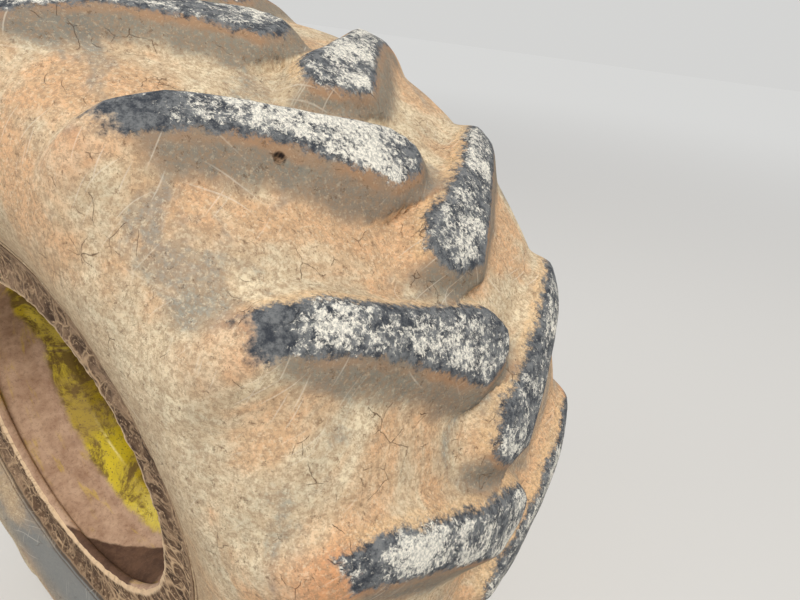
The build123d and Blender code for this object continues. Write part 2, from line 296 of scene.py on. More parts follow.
# %% [markdown]
# Each lug slants from the middle of the tread to the shoulder. Straight columns would
# cross its edges and leave them ragged. So every row sets its columns by the two edges
# that it meets there: some lie on the lug, and the rest share the gap to the next one.

# %% Columns: the lugs' edges are followed in every row
PAST_NOSE = (0.24, 0.64)


def edges_at(out):
    """Trailing and leading edge of the outer row's lug.

    Past its nose they run on between the other row's lugs, at two shares of the gap.
    """
    trail = np.interp(out, lug_out, lug_trail)
    lead = np.interp(out, lug_out, lug_lead)
    gap_start = np.interp(-out, lug_out, lug_lead) - PITCH / 2
    gap = np.interp(-out, lug_out, lug_trail) + PITCH / 2 - gap_start
    past = out < NOSE
    return (np.where(past, gap_start + PAST_NOSE[0] * gap, trail),
            np.where(past, gap_start + PAST_NOSE[1] * gap, lead))


ON_LUG = np.array([0, 0.06, 0.16, 0.33, 0.5, 0.67, 0.84, 0.94])
IN_GAP = np.array([0.0, 0.09, 0.2, 0.32, 0.41, 0.5, 0.59, 0.68, 0.8, 0.91])
row_out = rows[:, 2]
near_trail, near_lead = edges_at(row_out)
far_trail, far_lead = edges_at(-row_out)
far_trail, far_lead = far_trail + PITCH / 2, far_lead + PITCH / 2
spans = [(near_trail, near_lead, ON_LUG), (near_lead, far_trail, IN_GAP),
         (far_trail, far_lead, ON_LUG), (far_lead, near_trail + PITCH, IN_GAP)]
parts = [a[:, None] + (b - a)[:, None] * shares for a, b, shares in spans]
one_pitch = np.concatenate(parts, axis=1)
along = np.concatenate([one_pitch + k * PITCH for k in range(LUGS)], axis=1)
along = np.concatenate([along, along[:, :1] + LUGS * PITCH], axis=1)
print("faces round the tyre:", along.shape[1] - 1)

# %% [markdown]
# A lug stands on the casing with a wide fillet of rubber and packed clay,
# wider behind than in front. A bevel has one width all round. The distance to
# the lug's outline gives a fillet of any width, and also two marks for the
# finish: how near a point is to a lug, and whether it lies on its rear flank.

# %% Distance to a lug's outline
NOSE_CORNER = 45


def distance_inside(s, out):
    """Signed distance in the tread's plan to one lug's outline, with a rounded nose.

    It is positive on the lug.
    """
    steps = np.arange(NOSE - 150, lug_out[-1] + 1, 5.0)
    side = np.full(s.shape, 1e9)
    for edge in (lug_trail, lug_lead):
        outline = np.stack([np.interp(steps, lug_out, edge), steps], 1)
        for a, b in zip(outline, outline[1:]):
            run = b - a
            t = np.clip(((s - a[0]) * run[0] + (out - a[1]) * run[1]) / (run @ run), 0, 1)
            side = np.minimum(side, np.hypot(s - a[0] - t * run[0], out - a[1] - t * run[1]))
    between = (s > np.interp(out, lug_out, lug_trail)) & (s < np.interp(out, lug_out, lug_lead))
    side = np.where(between, side, -side)
    tip = out - NOSE
    corner = np.hypot(np.maximum(NOSE_CORNER - side, 0), np.maximum(NOSE_CORNER - tip, 0))
    return np.maximum(NOSE_CORNER, np.minimum(side, tip)) - corner


middle_of_lug = distance_inside(np.array([60.0]), np.array([220.0]))
print("from the middle of a lug to its edge:", round(float(middle_of_lug[0]), 1), "mm")

# %% How far each point stands up as lug
# Widths: the fillet at a lug's foot, what it gains behind the lug, and the rolled edge of the top.
FILLET, REAR_FILLET, ROLL_OVER = 32, 30, 17
# Widths over which front turns into rear, and over which the marks of edge and flank fade.
SIDE_CHANGE, EDGE_MARK, FLANK_MARK = 60, 40, 95


def smooth(t):
    t = np.clip(t, 0, 1)
    return t * t * (3 - 2 * t)


def lug_layers(s, out):
    """Height share, closeness to the lug's outline and the trailing flank, each from 0 to 1."""
    s = (s + PITCH / 2) % PITCH - PITCH / 2
    inside = distance_inside(s, out)
    middle = (np.interp(out, lug_out, lug_trail) + np.interp(out, lug_out, lug_lead)) / 2
    trailing = smooth((middle - s) / SIDE_CHANGE + 0.5)
    fillet = FILLET + REAR_FILLET * trailing
    height = smooth((inside + fillet) / (fillet + ROLL_OVER))
    nearness = np.clip(inside / EDGE_MARK + 0.5, 0, 1)
    return height, nearness, trailing * smooth(1 + inside / FLANK_MARK)


out_grid = np.repeat(row_out[:, None], along.shape[1], axis=1)
near_layers = lug_layers(along, out_grid)
far_layers = lug_layers(along - PITCH / 2, -out_grid)
share = 1 - (1 - near_layers[0]) * (1 - far_layers[0])
marks = {"lug": np.maximum(near_layers[1], far_layers[1]),
         "flank": np.maximum(near_layers[2], far_layers[2])}
print("share of the grid that is lug top:", round(float((share > 0.9).mean()), 2))

# %% [markdown]
# Now the flat grid becomes the tyre: its row gives a point its place in the
# section, its column the angle about the axle. A bend modifier would only
# roll it up. Set point by point, rows and columns land where the tables
# say. Then the two ends of the grid meet, and their doubles are merged.

# %% Wrap a grid primitive round the tyre
start_fresh()
bpy.ops.mesh.primitive_grid_add(x_subdivisions=along.shape[1] - 1, y_subdivisions=len(rows) - 1,
                                size=2)
tyre = bpy.context.object
flat = np.empty(len(tyre.data.vertices) * 3)
tyre.data.vertices.foreach_get("co", flat)
flat = flat.reshape(-1, 3)
column = np.rint((flat[:, 0] + 1) / 2 * (along.shape[1] - 1)).astype(int)
line = np.rint((flat[:, 1] + 1) / 2 * (len(rows) - 1)).astype(int)
up = share[line, column]
out_mm = rows[line, 0] + (rows[line, 2] - rows[line, 0]) * up
radius_mm = rows[line, 1] + (rows[line, 3] - rows[line, 1]) * up
turn = FIRST_LUG + along[line, column] / TREAD_R
spots = [radius_mm * np.cos(turn), WHEEL_Y * 1000 - out_mm, radius_mm * np.sin(turn)]
tyre.data.vertices.foreach_set("co", (np.stack(spots, 1) / 1000).ravel())
print("largest radius:", round(float(radius_mm.max()), 1), "mm")

# %% [markdown]
# The finish needs to know where it is on the tread. An image map would be unwrapped by hand
# for that. The grid already has one: the way along the tread and the way across it, in
# metres. The two marks go with each point as attributes, which a material can read by name.

# %% The tread's map and the two marks
across = np.concatenate([[0], np.cumsum(np.hypot(*np.diff(rows[:, :2], axis=0).T))])
tread_map = np.stack([along[line, column], across[line]], 1) / 1000
corners = np.empty(len(tyre.data.loops), int)
tyre.data.loops.foreach_get("vertex_index", corners)
tyre.data.uv_layers[0].name = "tread"
tyre.data.uv_layers["tread"].data.foreach_set("uv", tread_map[corners].ravel())
for name, layer in marks.items():
    mark = tyre.data.attributes.new(name, "FLOAT", "POINT")
    mark.data.foreach_set("value", layer[line, column].astype(np.float32))
close_up(tyre)
print("tyre faces:", len(tyre.data.polygons))

# %% [markdown]
# Dried clay over rubber is the largest surface here. It could be an image, but an image has one
# size and a seam, while noise is worked out at every point. Each layer first needs its place:
# scuffs stay on the lugs' tops, grey that is partly painted shade on the flanks behind them, smooth
# dust beside the rim. Distances from the axle and from the wheel's middle give these places, with
# the two attributes that the grid carries.

# %% Where each layer of the tyre goes
TREAD_STARTS = (0.660, 0.685)
SIDE_ENDS = (0.58, 0.46)


def tyre_places(tree):
    """Masks from 0 to 1, named for the part of the tyre that they cover."""
    spot = node(tree, "SeparateXYZ", {0: place(tree)})
    radius = from_axle(tree)
    out = sum_up(tree, spot.outputs["Y"], "SUBTRACT", WHEEL_Y)
    out = sum_up(tree, out, "ABSOLUTE", 0.0)
    crown = soft(tree, radius, *TREAD_STARTS)
    side = soft(tree, radius, *SIDE_ENDS)
    ragged_end = sum_up(tree, out, "ADD", away(tree, noise(tree, 30, 5, 0.7), 0.10))
    ragged_low = sum_up(tree, spot.outputs["Z"], "ADD", away(tree, noise(tree, 6, 5, 0.65), 0.5))
    return {
        "lug": node(tree, "Attribute", attribute_name="lug").outputs["Fac"],
        "flank": node(tree, "Attribute", attribute_name="flank").outputs["Fac"],
        "radius": radius,
        "out": out,
        "side": side,
        "tread": times(tree, soft(tree, out, 0.34, 0.27), crown),
        "worn": times(tree, soft(tree, ragged_end, 0.326, 0.306), crown),
        "low": times(tree, soft(tree, ragged_low, -0.22, -0.40), side),
    }


print("radius where the tread starts:", TREAD_STARTS)

# %% [markdown]
# The clay itself is sand coloured, with wide stains of orange and grey where
# other soil dried on it. One noise with many octaves could give all of this,
# but then every stain has the same shape. Several noises of different sizes,
# each for one colour, keep the stains apart, as they are on the real tyre.

# %% Stains of the clay
def stained_clay(tree, places):
    blotches = soft(tree, noise(tree, 12, 5, 0.65), 0.35, 0.65)
    clay = mix(tree, blotches, tone(232, 215, 182), tone(202, 188, 160))
    orange = soft(tree, noise(tree, 3.4, 5, 0.66, 0.4), 0.47, 0.58)
    clay = coat(tree, clay, times(tree, orange, 0.75), 214, 162, 116)
    grey = soft(tree, noise(tree, 4.3, 5, 0.68, 0.7), 0.51, 0.62)
    clay = coat(tree, clay, times(tree, grey, 0.8), 130, 132, 126)
    clay = coat(tree, clay, times(tree, places["side"], 0.8), 188, 162, 128)
    mottle = soft(tree, noise(tree, 42, 4, 0.75), 0.42, 0.58)
    return coat(tree, clay, times(tree, mottle, 0.5), 184, 157, 124)


def flank_colours_and_shade(tree, clay, places):
    """Grey behind each lug, partly bare rubber and partly painted shade, a brown or sandy line
    along its edges, and orange on its foot.
    """
    # Painted shade: the grey on each lug's rear flank is partly bare rubber and partly shade.
    flank = sum_up(tree, places["flank"], "ADD", away(tree, noise(tree, 9, 6, 0.68), 1.5))
    flank = soft(tree, times(tree, flank, places["tread"]), 0.28, 0.80)
    clay = coat(tree, clay, times(tree, flank, 0.85), 114, 112, 104)
    edge = sum_up(tree, places["lug"], "ADD", away(tree, noise(tree, 30, 4), 0.5))
    edge = times(tree, soft(tree, edge, 0.10, 0.34), places["tread"])
    behind = soft(tree, places["flank"], 0.25, 0.55)
    patchy = soft(tree, noise(tree, 8, 4, 0.6), 0.36, 0.58)
    clay = coat(tree, clay, times(tree, edge, behind, patchy, 0.65), 172, 128, 90)
    ahead = sum_up(tree, 1.0, "SUBTRACT", behind)
    clay = coat(tree, clay, times(tree, edge, ahead, 0.6), 226, 190, 144)
    foot = times(tree, soft(tree, places["lug"], 0.0, 0.5), soft(tree, places["out"], 0.275, 0.315))
    foot = times(tree, foot, soft(tree, places["radius"], 0.60, 0.68),
                 soft(tree, noise(tree, 4.1, 4, 0.6), 0.38, 0.58))
    return coat(tree, clay, times(tree, foot, 0.7), 208, 146, 100)


print("a clay colour in linear light:", [round(c, 3) for c in tone(232, 215, 182)])

# %% [markdown]
# Seen from near, dry clay is sand: dark and pale grains, and pores where grains fell out. Bare
# rubber shows low on the sidewall. Two dark lines run round beside the rim, in the grooves moulded
# in the wall: they are painted shade. Grains could be particles, which cost millions of faces. Fine
# noise with hard limits looks the same.

# %% Grain, pores and the painted shade of the grooves beside the rim
RIM_GROOVE_SHADE = [(0.4135, 0.0042), (0.4015, 0.0055)]


def grainy(tree, clay, places):
    dark = soft(tree, noise(tree, 150, 5, 0.85), 0.45, 0.57)
    clay = coat(tree, clay, times(tree, dark, 0.60), 150, 124, 98)
    pale = soft(tree, noise(tree, 205, 4, 0.8), 0.53, 0.61)
    pale = sum_up(tree, pale, "SUBTRACT", times(tree, places["flank"], 0.6), clamp=True)
    clay = coat(tree, clay, times(tree, pale, 0.36), 240, 222, 190)
    pores = soft(tree, noise(tree, 100, 5, 0.85), 0.585, 0.625)
    clay = coat(tree, clay, times(tree, pores, 0.6), 96, 72, 52)
    clay = coat(tree, clay, times(tree, places["low"], 0.9), 118, 122, 122)
    # Painted shade: a dark line in each moulded groove beside the rim.
    for line_radius, width in RIM_GROOVE_SHADE:
        off = sum_up(tree, places["radius"], "SUBTRACT", line_radius)
        off = sum_up(tree, off, "ABSOLUTE", 0.0)
        clay = coat(tree, clay, times(tree, soft(tree, off, width, 0.0005), 0.88), 80, 63, 48)
    return clay


print("lines beside the rim at radius:", [line_radius for line_radius, width in RIM_GROOVE_SHADE])

# %% [markdown]
# Single marks come last: short crooked cracks where the clay dried, and pale
# scratches from stones and branches. Cracks are the edges of a texture of
# random cells, seen only in a few places. A scratch is one such cell drawn out
# along one direction. It needs flat coordinates, so it uses the grid's own map.

# %% Cracks and scratches
# The share of its cell that a stroke fills, and how far it wavers in metres.
FILL, WAVER = 0.12, 0.04


def strokes(tree, turn, length, width):
    """Single long scratches: round cells of the tread's map, drawn out along one turned axis."""
    flat = node(tree, "UVMap", uv_map="tread").outputs[0]
    feeds = {"Vector": flat, "Scale": 7.0, "Detail": 1.0}
    wavy = node(tree, "TexNoise", feeds, noise_dimensions="2D").outputs["Color"]
    shift = node(tree, "VectorMath", {0: wavy, "Scale": WAVER}, operation="SCALE").outputs[0]
    flat = node(tree, "VectorMath", {0: flat, 1: shift}).outputs[0]
    along_turn = node(tree, "Mapping", {"Vector": flat, "Rotation": (0, 0, turn)}).outputs[0]
    at = stretched(tree, (FILL / length, FILL / width, 1.0), along_turn)
    cells = node(tree, "TexVoronoi", {"Vector": at, "Scale": 1.0}, voronoi_dimensions="2D")
    chance = node(tree, "SeparateColor", {0: cells.outputs["Color"]}).outputs[0]
    kept = soft(tree, chance, 0.60, 0.75)
    return times(tree, soft(tree, cells.outputs["Distance"], 0.14, 0.06), kept)


# Turn in radians, half length and half width in metres.
SCRATCHES = [(0.5, 0.045, 0.0012), (-0.9, 0.022, 0.0010), (1.7, 0.032, 0.0009)]


def marked(tree, clay, places):
    split = cracks(tree, 27, 0.014, push(tree, 34, 0.020))
    split = times(tree, split, soft(tree, noise(tree, 20, 2), 0.56, 0.62))
    clay = coat(tree, clay, times(tree, split, 0.65), 98, 72, 52)
    pale = strokes(tree, *SCRATCHES[0])
    for scratch in SCRATCHES[1:]:
        pale = sum_up(tree, pale, "MAXIMUM", strokes(tree, *scratch))
    patches = soft(tree, noise(tree, 6, 3), 0.48, 0.60)
    patches = sum_up(tree, patches, "MAXIMUM", places["low"])
    return coat(tree, clay, times(tree, pale, patches, 0.30), 234, 224, 206), split


print("kinds of scratch:", len(SCRATCHES))

# %% [markdown]
# The ground rubs the tops of the lugs back to dark rubber and leaves cream
# scuffs of stone dust on them. The tops could be a second material on their
# own faces, but then the edge follows the faces. A mask with a ragged noise
# ends anywhere. The scuffs gather in the middle and leave the edges dark.

# %% Rubbed tops of the lugs
def lug_tops(tree, clay, places):
    ragged = sum_up(tree, places["lug"], "ADD", away(tree, noise(tree, 110, 4, 0.8), 0.9))
    ragged = sum_up(tree, ragged, "ADD", away(tree, noise(tree, 17, 3), 0.6))
    top = times(tree, soft(tree, ragged, 0.38, 0.62), places["worn"])
    dull = soft(tree, noise(tree, 60, 6, 0.8), 0.38, 0.62)
    rubber = mix(tree, dull, tone(54, 58, 65), tone(116, 118, 119))
    inner = soft(tree, places["lug"], 0.45, 0.90)
    inner = times(tree, inner, soft(tree, places["out"], 0.315, 0.245))
    spread = away(tree, noise(tree, 7.6, 4, 0.65), 0.75)
    spread = sum_up(tree, spread, "ADD", away(tree, inner, 0.15, 0.9))
    spread = sum_up(tree, spread, "ADD", away(tree, noise(tree, 52, 3, 0.6), 0.45))
    scuffs = sum_up(tree, noise(tree, 150, 5, 0.85, 0.5), "ADD", spread)
    scuffs = soft(tree, scuffs, 0.475, 0.595)
    grains = soft(tree, noise(tree, 260, 4, 0.8), 0.42, 0.60)
    cream = mix(tree, grains, tone(238, 232, 218), tone(178, 176, 168))
    return mix(tree, top, clay, mix(tree, scuffs, rubber, cream))


print("dark rubber in linear light:", [round(c, 3) for c in tone(54, 58, 65)])

# %% [markdown]
# Now the layers go on, mostly in the order in which the real tyre got them: clay with its stains,
# the grey flanks, grains, cracks and scratches, and last the rubbed tops. The grey on the flanks is
# partly painted shade, and the rim grooves and the stone hole are darkened with painted shade. They
# could be several materials, but on one surface they have to fade into each other, so one material
# holds them all.

# %% The whole finish of the tyre
HOLE = (0.4273, -0.5963, 0.5846)


def tyre_finish():
    material, tree, shader = new_material("clay_on_rubber", Roughness=0.9, Specular_IOR_Level=0.2)
    places = tyre_places(tree)
    clay = grainy(tree, flank_colours_and_shade(tree, stained_clay(tree, places), places), places)
    clay, split = marked(tree, clay, places)
    from_hole = node(tree, "VectorMath", {0: place(tree), 1: HOLE}, operation="DISTANCE")
    # Painted shade: the inside of the stone hole is darkened.
    hole_shade = soft(tree, from_hole.outputs["Value"], 0.0090, 0.0060)
    clay = coat(tree, clay, hole_shade, 40, 31, 28)
    plug(tree, shader, "Base Color", lug_tops(tree, clay, places))
    whole = sum_up(tree, 1.0, "SUBTRACT", split)
    lumps, sand = noise(tree, 11, 3, 0.6), noise(tree, 110, 4, 0.8)
    bump(tree, shader, [(lumps, 0.010), (sand, 0.0028), (whole, 0.0016)], 0.8)
    return material


clay_on_rubber = tyre_finish()
print("tyre finish:", len(clay_on_rubber.node_tree.nodes), "nodes")

# %% [markdown]
# The lugs of a used tyre are never quite even. They could be sculpted by hand,
# one by one. A Displace modifier with a soft cloud texture moves the whole skin
# by two or three millimetres, which is enough to break every straight edge.

# %% Uneven skin
clouds = bpy.data.textures.new("worn_rubber", "CLOUDS")
clouds.noise_scale = 0.06
clouds.noise_depth = 2
apply_modifier(tyre, "DISPLACE", texture=clouds, texture_coords="LOCAL",
               strength=0.0035, mid_level=0.8)
print("skin height:", round(max(point.co.z for point in tyre.data.vertices), 4))

# %% [markdown]
# A stone has punched one small hole in a lug's flank. A boolean cut
# would leave long thin faces in the smooth skin. Here the few faces
# round it are subdivided, and the points inside the hole are pushed in.

# %% Stone hole
HOLE_RADIUS = 0.0066
HOLE_DEPTH = 0.012


def select_near(kind, items, reach):
    """Select the faces or points of the tyre within reach of the hole."""
    edit(tyre, kind)
    bpy.ops.mesh.select_all(action="DESELECT")
    bpy.ops.object.mode_set(mode="OBJECT")
    for item in items():
        spot = item.center if kind == "FACE" else item.co
        item.select = (spot - Vector(HOLE)).length < reach
    bpy.ops.object.mode_set(mode="EDIT")


select_near("FACE", lambda: tyre.data.polygons, 3 * HOLE_RADIUS)
bpy.ops.mesh.subdivide(number_cuts=5)
select_near("VERT", lambda: tyre.data.vertices, HOLE_RADIUS)
inward = -Vector((HOLE[0], 0, HOLE[2])).normalized()
bpy.ops.transform.translate(value=inward * HOLE_DEPTH)
bpy.ops.object.mode_set(mode="OBJECT")
finish_piece(tyre, "worn_tyre", "wheel", clay_on_rubber, "tyre", "tyre", angle=80)

# %% [markdown]
# Paint, mud and iron share one idea: a coat of dust over a base colour, thicker where a soft noise
# says so. Patterns that run out from the axle, such as cracks in the mud ring, could use an angle,
# but an angle has a seam. A place squeezed along its own spoke gives the same streaks without one.

# %% Shared layers: spoke coordinate and dust
def spoke_coordinate(tree, radius, stretch, at=None):
    """The place, squeezed along its spoke about one radius, so that noise runs along the spokes."""
    flat = stretched(tree, (1, 0, 1), at)
    length = node(tree, "VectorMath", {0: flat}, operation="LENGTH").outputs["Value"]
    unit = node(tree, "VectorMath", {0: flat}, operation="NORMALIZE").outputs[0]
    squeezed = sum_up(tree, away(tree, length, stretch, radius), "ADD", radius)
    return node(tree, "VectorMath", {0: unit, "Scale": squeezed}, operation="SCALE").outputs[0]


ROAD_DUST = (168, 134, 104)
DARK_DUST = [c * 0.78 for c in ROAD_DUST]


def dusted(tree, base, amount):
    cover = soft(tree, noise(tree, 18, 6, 0.65, 0.3), 0.75 - amount, 0.95 - amount)
    patches = soft(tree, noise(tree, 160, 3), 0.3, 0.7)
    return mix(tree, cover, base, mix(tree, patches, tone(*ROAD_DUST), tone(*DARK_DUST)))


print("road dust in linear light:", [round(c, 3) for c in tone(*ROAD_DUST)])

# %% [markdown]
# On the bead seat of the rim dust lies thick, yellow shows through it in streaks that run round the
# rim, and at the bottom one patch is darker brown. The patch could be a painted mask. Here a height
# and one slanted line decide where it ends, and noise frays its borders.

# %% Dust and the darker patch at the bottom of the bead seat
SEAT_DUST = (0.200, 0.212)
DARK_PATCH_LEVEL = (-0.262, -0.274)
DARK_PATCH_EDGE = (-0.060, -0.048)


def seat_dust(tree, spot):
    patches = soft(tree, noise(tree, 22, 6, 0.7), 0.35, 0.7)
    powder = mix(tree, patches, tone(192, 160, 134), tone(156, 122, 98))
    streaks = noise(tree, 44, 5, 0.65, 0.3, stretched(tree, (0.2, 1.0, 0.2)))
    streaks = soft(tree, streaks, 0.53, 0.66)
    powder = coat(tree, powder, times(tree, streaks, 0.55), 200, 168, 66)
    patches = soft(tree, noise(tree, 30, 6, 0.75), 0.38, 0.62)
    # A darker brown patch at the bottom, bounded by a height and a slanted line.
    darker = mix(tree, patches, tone(98, 70, 52), tone(74, 50, 36))
    level = sum_up(tree, spot["Z"], "ADD", away(tree, noise(tree, 20, 4), 0.02))
    edge = sum_up(tree, spot["X"], "SUBTRACT", away(tree, spot["Y"], 1.9, -0.72))
    edge = sum_up(tree, edge, "ADD", away(tree, noise(tree, 24, 4), 0.03))
    dark_patch = times(tree, soft(tree, level, *DARK_PATCH_LEVEL), soft(tree, edge, *DARK_PATCH_EDGE))
    powder = mix(tree, dark_patch, powder, darker)
    crumbs = soft(tree, noise(tree, 140, 6, 0.8), 0.50, 0.62)
    return coat(tree, powder, times(tree, crumbs, 0.4), 112, 84, 64)


print("the damp patch begins at z:", DARK_PATCH_LEVEL[0])

# %% [markdown]
# Deeper in the rim the paint is yellow, with brown smears and drips where mud
# was washed down. The drips could be single strokes, but there are hundreds.
# A noise that is squeezed along the spokes gives them all at once. Where dust
# or a smear covers the paint, it is duller and stands out a little.

# %% Yellow paint of the rim
def rim_finish():
    material, tree, shader = new_material("dusty_yellow_paint", Metallic=0.0)
    spot = node(tree, "SeparateXYZ", {0: place(tree)}).outputs
    faded = soft(tree, noise(tree, 5, 4), 0.35, 0.65)
    yellow = mix(tree, faded, tone(216, 192, 28), tone(182, 156, 26))
    yellow = coat(tree, yellow, soft(tree, noise(tree, 230, 3), 0.58, 0.68), 110, 84, 36)
    smear = soft(tree, noise(tree, 8, 6, 0.78, 0.5), 0.455, 0.575)
    yellow = coat(tree, yellow, times(tree, smear, 0.85), 92, 66, 36)
    film = soft(tree, noise(tree, 5.5, 5, 0.75, 0.3), 0.48, 0.64)
    yellow = coat(tree, yellow, times(tree, film, 0.3), 160, 130, 92)
    drips = noise(tree, 34, 4, 0.6, 0.2, spoke_coordinate(tree, 0.28, 0.15))
    drips = soft(tree, drips, 0.60, 0.68)
    yellow = coat(tree, yellow, times(tree, drips, 0.6), 98, 70, 42)
    out = sum_up(tree, WHEEL_Y, "SUBTRACT", spot["Y"])
    border = sum_up(tree, out, "ADD", away(tree, noise(tree, 14, 5), 0.035))
    border = sum_up(tree, border, "SUBTRACT", times(tree, soft(tree, spot["Z"], 0.0, 0.2), 0.05))
    dust = soft(tree, border, *SEAT_DUST)
    plug(tree, shader, "Base Color", mix(tree, dust, yellow, seat_dust(tree, spot)))
    dull = sum_up(tree, dust, "MAXIMUM", smear)
    plug(tree, shader, "Roughness", sum_up(tree, times(tree, dull, 0.5), "ADD", 0.38))
    bump(tree, shader, [(noise(tree, 30, 5), 0.003), (dull, 0.0015)], 0.5)
    return material


dusty_yellow_paint = rim_finish()
print("rim finish:", len(dusty_yellow_paint.node_tree.nodes), "nodes")

# %% [markdown]
# Mud that dried on the flange ring has split into dark pockets between pale
# ridges that run outwards. A plain pattern of cells looks like tiles.
# Stretching it along the spokes and bending its edges with noise gives the torn look, and a bright
# line runs along the lip, where the ring is thin.

# %% Caked mud of the flange ring
LIP_ENDS = (0.319, 0.312)
CAKE_ENDS = (0.386, 0.394)


def mud_finish():
    material, tree, shader = new_material("caked_mud", Roughness=0.95, Specular_IOR_Level=0.15)
    pockets = soft(tree, noise(tree, 24, 6, 0.7), 0.35, 0.65)
    mud = mix(tree, pockets, tone(112, 88, 68), tone(66, 49, 38))
    crooked = spoke_coordinate(tree, 0.36, 0.5, push(tree, 26, 0.035))
    ridge = cracks(tree, 38, 0.10, crooked)
    ridge = times(tree, ridge, soft(tree, noise(tree, 11, 4, 0.6), 0.36, 0.54))
    wisps = times(tree, hairline(tree, 30, 0.05, 0.8, 3.0, crooked), 0.55)
    ridge = sum_up(tree, ridge, "MAXIMUM", wisps)
    mud = coat(tree, mud, times(tree, ridge, 0.85), 204, 172, 136)
    dusty = soft(tree, noise(tree, 6, 6, 0.72, 0.6), 0.50, 0.64)
    mud = coat(tree, mud, times(tree, dusty, 0.6), 160, 132, 106)
    mud = coat(tree, mud, soft(tree, noise(tree, 150, 5, 0.75), 0.54, 0.66), 192, 162, 130)
    radius = sum_up(tree, from_axle(tree), "ADD", away(tree, noise(tree, 40, 4), 0.012))
    mud = coat(tree, mud, soft(tree, radius, *LIP_ENDS), 220, 190, 154)
    mud = coat(tree, mud, soft(tree, radius, *CAKE_ENDS), 150, 124, 98)
    plug(tree, shader, "Base Color", mud)
    bump(tree, shader, [(noise(tree, 60, 6, 0.7), 0.005), (ridge, 0.003)], 0.8)
    return material


caked_mud = mud_finish()
print("mud finish:", len(caked_mud.node_tree.nodes), "nodes")

# %% [markdown]
# The hub and the axle end are cast iron, the nuts plated steel, the valve brass.
# In the dirt they differ little, so one recipe serves all: a base colour, a worn
# colour in soft spots, small pits and a film of dust. Only the numbers change.

# %% Iron, steel and brass under road dust
def metal_finish(name, base, worn, dust_amount, metallic, roughness):
    material, tree, shader = new_material(name, Metallic=metallic)
    rubbed = soft(tree, noise(tree, 28, 6, 0.7), 0.4, 0.65)
    colour = mix(tree, rubbed, tone(*base), tone(*worn))
    pits = soft(tree, noise(tree, 300, 2), 0.6, 0.75)
    colour = coat(tree, colour, pits, *[c * 0.6 for c in worn])
    plug(tree, shader, "Base Color", dusted(tree, colour, dust_amount))
    rough = times(tree, noise(tree, 40, 5), 0.35)
    plug(tree, shader, "Roughness", sum_up(tree, rough, "ADD", roughness))
    cast, uneven = noise(tree, 220, 4, 0.7), noise(tree, 30, 3)
    bump(tree, shader, [(cast, 0.0006), (uneven, 0.0015)], 0.5)
    return material


cast_iron = metal_finish("grey_cast_iron", (58, 60, 64), (84, 82, 80), 0.30, 0.0, 0.45)
axle_paint = metal_finish("dark_axle_paint", (40, 43, 48), (66, 66, 68), 0.24, 0.0, 0.35)
plated_steel = metal_finish("plated_steel", (148, 142, 132), (112, 92, 70), 0.22, 0.7, 0.25)
dull_brass = metal_finish("dull_brass", (150, 118, 62), (96, 78, 50), 0.18, 0.8, 0.3)
print("metals:", [m.name for m in (cast_iron, axle_paint, plated_steel, dull_brass)])

# %% [markdown]
# Rim barrel, flange rings, disc and drive flange are all turned or rolled
# parts. Each could be a profile swept with Spin. Here a circle is extruded
# ring by ring instead, each new ring scaled to its radius and moved along the
# axle, because that keeps each ring's points lined up and the wall closed.

# %% Turned pieces, ring by ring
def turned(profile, sides):
    """Extrude a circle through points of outboard distance and radius, in millimetres."""
    start_fresh()
    out, radius = profile[0]
    bpy.ops.mesh.primitive_circle_add(vertices=sides, radius=radius / 1000,
                                      location=(0, WHEEL_Y - out / 1000, 0),
                                      rotation=(pi / 2, 0, 0))
    piece = bpy.context.object
    bpy.ops.object.transform_apply(location=True, rotation=True, scale=True)
    edit(piece)
    for next_out, next_radius in profile[1:] + profile[:1]:
        bpy.ops.mesh.extrude_region()
        factor = next_radius / radius
        bpy.ops.transform.resize(value=(factor, 1, factor), center_override=(0, 0, 0))
        bpy.ops.transform.translate(value=(0, (out - next_out) / 1000, 0))
        out, radius = next_out, next_radius
    bpy.ops.object.mode_set(mode="OBJECT")
    close_up(piece)
    return piece


def round_edges(piece, width, segments=3, angle=30):
    """Bevel the edges, then merge the points that a bevel leaves where it meets itself."""
    apply_modifier(piece, "BEVEL", width=width, segments=segments, limit_method="ANGLE",
                   angle_limit=radians(angle))
    close_up(piece)


print("turned pieces stand about y:", WHEEL_Y)

# %% [markdown]
# The rim barrel is rolled from plate: a tapered seat for each bead, a flank, and a deep
# well that lets the tyre be mounted. Its bends could be points of the profile. A bevel of
# the sharp profile keeps the table short and makes all the bends alike, as rollers do.

# %% Rim barrel
barrel_outer = [(304.8, 336.5), (214.8, 328.6), (164.8, 276.5),
                (-164.8, 276.5), (-214.8, 328.6), (-304.8, 336.5)]
barrel_inner = [(-304.8, 324.4), (-219, 316.4), (-170, 264.5),
                (170, 264.5), (219, 316.4), (304.8, 324.4)]
barrel = turned(barrel_outer + barrel_inner, sides=256)
round_edges(barrel, 0.014, segments=4, angle=15)
finish_piece(barrel, "rolled_barrel", "wheel", dusty_yellow_paint, "rim_paint", "rim_barrel")

# %% [markdown]
# The flange rings hold the beads in. Their corners are rolled over, and mud has dried
# on both. Mud could be colour alone, but it is thick enough to cast small shadows. So
# it is a second skin, turned just proud of the ring and roughened with clouds.

# %% Flange rings and the mud on them
SIDES = ((1, "outer"), (-1, "inner"))
RING_SECTION = [(304.8, 304.5), (320.8, 304.5), (320.8, 366.5), (304.8, 366.5)]
CRUST_SECTION = [
    (318, 306.5), (322.5, 308), (325.5, 312), (326, 320), (326, 330), (326, 340), (326, 350),
    (326.5, 360), (327.5, 368), (329, 376), (331.5, 384), (334, 392), (334.5, 397), (328, 394),
    (322, 380), (318, 366),
]
for side, name in SIDES:
    ring = turned([(side * out, radius) for out, radius in RING_SECTION], sides=256)
    round_edges(ring, 0.006, segments=4)
    finish_piece(ring, "ring_" + name, "wheel", dusty_yellow_paint, "rim_paint",
                 "flange_ring_" + name)

